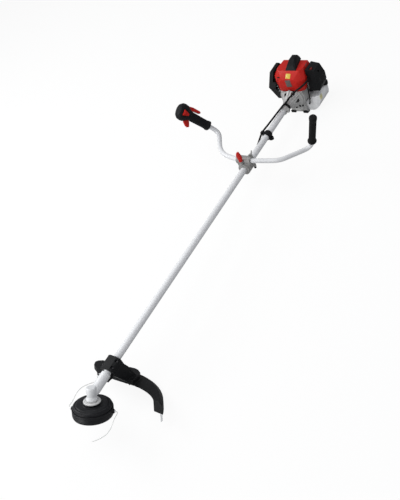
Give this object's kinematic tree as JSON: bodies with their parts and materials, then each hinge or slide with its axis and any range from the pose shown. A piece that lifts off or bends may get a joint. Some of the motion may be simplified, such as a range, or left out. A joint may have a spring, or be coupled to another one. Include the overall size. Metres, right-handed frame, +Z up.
{
  "type": "string trimmer",
  "caption": "Petrol string trimmer: long straight shaft with bump-feed line head and debris shield in front, two-piece handlebar with throttle grip, two-stroke engine behind.",
  "frame": {"origin": "centre of the flat underside of the stand pad under the engine, on the floor the trimmer rests on", "axes": "+Y along the shaft from the line head towards the engine, +Z up, +X to the operator's left"},
  "size_m": [0.6268, 1.8371, 0.3431],
  "materials": {
    "tube_paint": "light silver lacquer on steel tube",
    "cast_alloy": "fine blasted die casting",
    "light_casting": "pale painted die casting",
    "steel": "turned steel",
    "black_plastic": "black moulded nylon, fine grain",
    "black_rubber": "black soft rubber",
    "red_plastic": "glossy red moulded plastic",
    "tank_plastic": "milky polythene",
    "nylon_line": "pale nylon line",
    "brass": "sintered bush",
    "exhaust_steel": "heat blackened sheet steel"
  },
  "bodies": {
    "tool": {"output_bearing": "steel", "line_cutter": "steel", "shaft_tube": "tube_paint", "shaft_bush_front": "brass", "shaft_bush_middle": "brass", "shaft_bush_rear": "brass", "gearbox_housing": "light_casting", "debris_shield": "black_plastic", "shield_clamp": "black_plastic", "hanger_clamp": "black_plastic", "handle_clamp_base": "cast_alloy", "handle_clamp_cap": "cast_alloy", "throttle_cable": "black_rubber", "tube_collar": "light_casting", "av_ring": "black_rubber", "clutch_housing": "light_casting", "crankcase": "light_casting", "cylinder": "cast_alloy", "spark_plug": "black_plastic", "engine_cover": "red_plastic", "plug_cover": "black_plastic", "muffler": "exhaust_steel", "muffler_guard": "black_plastic", "carburettor": "cast_alloy", "filter_cover": "black_plastic", "fuel_tank": "tank_plastic", "fuel_line": "black_rubber", "starter_housing": "black_plastic", "engine_stand": "cast_alloy", "stand_pad": "black_rubber"},
    "head": {"output_shaft": "steel", "bevel_gear": "steel", "holder_flange": "light_casting", "head_cover": "black_plastic", "head_drum": "black_plastic", "line_eyelet_front": "cast_alloy", "line_eyelet_rear": "cast_alloy", "line_end_front": "nylon_line", "line_end_rear": "nylon_line", "bump_spring": "steel"},
    "bump_feed": {"line_spool": "red_plastic", "bump_knob": "black_plastic"},
    "driveline": {"drive_shaft": "steel", "bevel_pinion": "steel", "clutch_drum": "steel"},
    "crank": {"flywheel": "cast_alloy"},
    "left_arm": {"handlebar_left": "tube_paint", "plain_grip": "black_rubber"},
    "right_arm": {"handlebar_right": "tube_paint", "throttle_grip_inner": "black_plastic", "throttle_grip_outer": "black_plastic", "throttle_cable_handle": "black_rubber"},
    "trigger": {"throttle_trigger": "red_plastic"},
    "lockout": {"lockout_lever": "red_plastic"},
    "switch": {"stop_switch": "red_plastic"},
    "knob": {"wing_knob": "red_plastic"},
    "wing_bolt": {"clamp_wing_bolt": "cast_alloy"},
    "cap": {"fuel_cap": "black_plastic"},
    "choke": {"choke_lever": "red_plastic"},
    "pull_grip": {"starter_handle": "black_plastic"}
  },
  "joints": [
    {"name": "head_spin", "type": "hinge", "parent": "tool", "child": "head", "pos_m": [0, -1.5727, 0.18837], "axis": [0, 0.5784, 0.8158], "continuous": true},
    {"name": "bump_press", "type": "slide", "parent": "head", "child": "bump_feed", "axis": [0, 0.5784, 0.8158], "range_m": [0, 0.006], "stiffness_N_per_m": 900, "springref_m": -0.012, "deforming": ["bump_spring"]},
    {"name": "drive_spin", "type": "hinge", "parent": "tool", "child": "driveline", "pos_m": [0, -0.81399, 0.14413], "axis": [0, 0.9983, -0.0582], "continuous": true},
    {"name": "crank_spin", "type": "hinge", "parent": "tool", "child": "crank", "pos_m": [0, 0.02458, 0.09523], "axis": [0, 0.9983, -0.0582], "continuous": true},
    {"name": "left_arm_tilt", "type": "hinge", "parent": "tool", "child": "left_arm", "pos_m": [0, -0.45781, 0.15401], "axis": [1, 0, 0], "range_deg": [-15, 15]},
    {"name": "right_arm_tilt", "type": "hinge", "parent": "tool", "child": "right_arm", "pos_m": [0, -0.45781, 0.15401], "axis": [1, 0, 0], "range_deg": [-15, 15]},
    {"name": "throttle", "type": "hinge", "parent": "right_arm", "child": "trigger", "pos_m": [-0.28485, -0.37944, 0.28963], "axis": [0.9355, -0.1349, 0.3266], "range_deg": [0, 16], "stiffness_Nm_per_rad": 0.3, "springref_deg": -17.19},
    {"name": "lockout", "type": "hinge", "parent": "right_arm", "child": "lockout", "pos_m": [-0.28485, -0.35171, 0.30109], "axis": [-0.9355, 0.1349, -0.3266], "range_deg": [0, 5], "stiffness_Nm_per_rad": 0.3, "springref_deg": -17.19},
    {"name": "stop_slide", "type": "slide", "parent": "right_arm", "child": "switch", "axis": [0.3533, 0.3572, -0.8646], "range_m": [0, 0.006]},
    {"name": "wing_knob_turn", "type": "hinge", "parent": "tool", "child": "knob", "pos_m": [-0.002, -0.47911, 0.16667], "axis": [0, 0.0582, 0.9983], "continuous": true},
    {"name": "wing_bolt_turn", "type": "hinge", "parent": "tool", "child": "wing_bolt", "pos_m": [0.026, -0.44267, 0.16455], "axis": [0, 0.0582, 0.9983], "continuous": true},
    {"name": "fuel_cap_turn", "type": "hinge", "parent": "tool", "child": "cap", "pos_m": [0.091, 0.10728, 0.07037], "axis": [0, 0.0582, 0.9983], "continuous": true},
    {"name": "choke_turn", "type": "hinge", "parent": "tool", "child": "choke", "pos_m": [0.091, 0.03997, 0.20452], "axis": [0, 0.0582, 0.9983], "range_deg": [0, 60]},
    {"name": "starter_pull", "type": "slide", "parent": "tool", "child": "pull_grip", "axis": [-0.4226, 0.0528, 0.9048], "range_m": [0, 0.7], "stiffness_N_per_m": 30, "springref_m": -0.1}
  ],
  "couplings": [
    {"joint": "drive_spin", "follows": "head_spin", "ratio": -1.3333}
  ]
}
